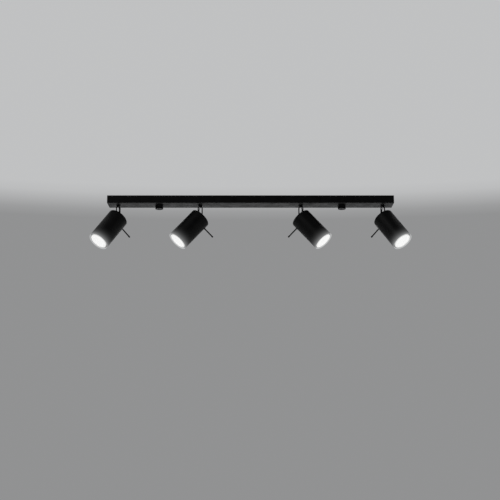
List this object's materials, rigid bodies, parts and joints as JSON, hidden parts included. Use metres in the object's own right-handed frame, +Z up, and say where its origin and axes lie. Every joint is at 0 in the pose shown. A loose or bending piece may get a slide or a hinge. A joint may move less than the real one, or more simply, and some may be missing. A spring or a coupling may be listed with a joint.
{
  "type": "ceiling spotlight bar",
  "caption": "Ceiling spotlight bar: a slim rectangular canopy carrying cylindrical black spot heads on wire links that swivel and tilt, each with a lever rod.",
  "frame": {"origin": "centre of the bracket's upper face, which lies on the ceiling, at the middle of the canopy", "axes": "+X along the canopy, +Z up into the ceiling, -Y towards the side of the room that the heads face"},
  "size_m": [0.9116, 0.0981, 0.1562],
  "materials": {
    "canopy_paint": "satin powder coat",
    "shade_paint": "satin powder coat",
    "link_paint": "satin powder coat",
    "lever_paint": "satin powder coat",
    "knob_black": "satin",
    "zinc_steel": "zinc plated",
    "steel": "plain",
    "brass": "turned",
    "black_nylon": "moulded",
    "black_rubber": "matte",
    "black_silicone": "satin",
    "white_nylon": "moulded",
    "ceramic": "glazed",
    "lamp_shell": "gloss",
    "lamp_front": "frosted",
    "brown_pvc": "extruded",
    "blue_pvc": "extruded",
    "green_yellow_pvc": "extruded"
  },
  "bodies": {
    "canopy": {"canopy_housing": "canopy_paint", "ceiling_bracket": "zinc_steel", "bracket_studs": "zinc_steel", "stud_nuts": "zinc_steel", "swivel_bushes": "black_nylon", "cable_grommet": "black_rubber", "terminal_block": "white_nylon", "terminal_screws": "steel", "terminal_sleeves": "brass", "weld_stud_nuts": "zinc_steel", "earth_tag": "brass", "live_lead": "brown_pvc", "neutral_lead": "blue_pvc", "earth_lead": "green_yellow_pvc"},
    "cap_nut_left": {"cap_nut_left": "knob_black"},
    "cap_nut_right": {"cap_nut_right": "knob_black"},
    "swivel_outer_left": {"link_arm_outer_left": "link_paint", "swivel_nut_outer_left": "zinc_steel", "lead_sleeve_outer_left": "black_silicone"},
    "head_outer_left": {"shade_outer_left": "shade_paint", "rear_cap_outer_left": "shade_paint", "pivot_yoke_outer_left": "zinc_steel", "pivot_bolt_outer_left": "zinc_steel", "lampholder_outer_left": "ceramic", "lever_rod_outer_left": "lever_paint"},
    "bulb_outer_left": {"lamp_outer_left": "lamp_shell", "lamp_lens_outer_left": "lamp_front"},
    "swivel_inner_left": {"link_arm_inner_left": "link_paint", "swivel_nut_inner_left": "zinc_steel", "lead_sleeve_inner_left": "black_silicone"},
    "head_inner_left": {"shade_inner_left": "shade_paint", "rear_cap_inner_left": "shade_paint", "pivot_yoke_inner_left": "zinc_steel", "pivot_bolt_inner_left": "zinc_steel", "lampholder_inner_left": "ceramic", "lever_rod_inner_left": "lever_paint"},
    "bulb_inner_left": {"lamp_inner_left": "lamp_shell", "lamp_lens_inner_left": "lamp_front"},
    "swivel_inner_right": {"link_arm_inner_right": "link_paint", "swivel_nut_inner_right": "zinc_steel", "lead_sleeve_inner_right": "black_silicone"},
    "head_inner_right": {"shade_inner_right": "shade_paint", "rear_cap_inner_right": "shade_paint", "pivot_yoke_inner_right": "zinc_steel", "pivot_bolt_inner_right": "zinc_steel", "lampholder_inner_right": "ceramic", "lever_rod_inner_right": "lever_paint"},
    "bulb_inner_right": {"lamp_inner_right": "lamp_shell", "lamp_lens_inner_right": "lamp_front"},
    "swivel_outer_right": {"link_arm_outer_right": "link_paint", "swivel_nut_outer_right": "zinc_steel", "lead_sleeve_outer_right": "black_silicone"},
    "head_outer_right": {"shade_outer_right": "shade_paint", "rear_cap_outer_right": "shade_paint", "pivot_yoke_outer_right": "zinc_steel", "pivot_bolt_outer_right": "zinc_steel", "lampholder_outer_right": "ceramic", "lever_rod_outer_right": "lever_paint"},
    "bulb_outer_right": {"lamp_outer_right": "lamp_shell", "lamp_lens_outer_right": "lamp_front"}
  },
  "joints": [
    {"name": "cap_nut_left_turn", "type": "hinge", "parent": "canopy", "child": "cap_nut_left", "pos_m": [-0.263, 0, -0.027], "axis": [0, 0, 1], "continuous": true},
    {"name": "cap_nut_right_turn", "type": "hinge", "parent": "canopy", "child": "cap_nut_right", "pos_m": [0.263, 0, -0.027], "axis": [0, 0, 1], "continuous": true},
    {"name": "pan_outer_left", "type": "hinge", "parent": "canopy", "child": "swivel_outer_left", "pos_m": [-0.381, 0, -0.022], "axis": [0, 0, 1], "range_deg": [-205, 125]},
    {"name": "tilt_outer_left", "type": "hinge", "parent": "swivel_outer_left", "child": "head_outer_left", "pos_m": [-0.381, 0, -0.0702], "axis": [-0.6428, 0.766, 0], "range_deg": [-39, 11]},
    {"name": "lamp_turn_outer_left", "type": "hinge", "parent": "head_outer_left", "child": "bulb_outer_left", "pos_m": [-0.41409, -0.02777, -0.11242], "axis": [0.4821, 0.4045, 0.7771], "range_deg": [0, 20]},
    {"name": "pan_inner_left", "type": "hinge", "parent": "canopy", "child": "swivel_inner_left", "pos_m": [-0.145, 0, -0.022], "axis": [0, 0, 1], "range_deg": [-186.5, 143.5]},
    {"name": "tilt_inner_left", "type": "hinge", "parent": "swivel_inner_left", "child": "head_inner_left", "pos_m": [-0.145, 0, -0.0702], "axis": [-0.3665, 0.9304, 0], "range_deg": [-42.5, 7.5]},
    {"name": "lamp_turn_inner_left", "type": "hinge", "parent": "head_inner_left", "child": "bulb_inner_left", "pos_m": [-0.18752, -0.01675, -0.10971], "axis": [0.6286, 0.2476, 0.7373], "range_deg": [0, 20]},
    {"name": "pan_inner_right", "type": "hinge", "parent": "canopy", "child": "swivel_inner_right", "pos_m": [0.145, 0, -0.022], "axis": [0, 0, 1], "range_deg": [-143.5, 186.5]},
    {"name": "tilt_inner_right", "type": "hinge", "parent": "swivel_inner_right", "child": "head_inner_right", "pos_m": [0.145, 0, -0.0702], "axis": [-0.3665, -0.9304, 0], "range_deg": [-42.5, 7.5]},
    {"name": "lamp_turn_inner_right", "type": "hinge", "parent": "head_inner_right", "child": "bulb_inner_right", "pos_m": [0.18752, -0.01675, -0.10971], "axis": [-0.6286, 0.2476, 0.7373], "range_deg": [0, 20]},
    {"name": "pan_outer_right", "type": "hinge", "parent": "canopy", "child": "swivel_outer_right", "pos_m": [0.381, 0, -0.022], "axis": [0, 0, 1], "range_deg": [-125, 205]},
    {"name": "tilt_outer_right", "type": "hinge", "parent": "swivel_outer_right", "child": "head_outer_right", "pos_m": [0.381, 0, -0.0702], "axis": [-0.6428, -0.766, 0], "range_deg": [-39, 11]},
    {"name": "lamp_turn_outer_right", "type": "hinge", "parent": "head_outer_right", "child": "bulb_outer_right", "pos_m": [0.41409, -0.02777, -0.11242], "axis": [-0.4821, 0.4045, 0.7771], "range_deg": [0, 20]}
  ]
}
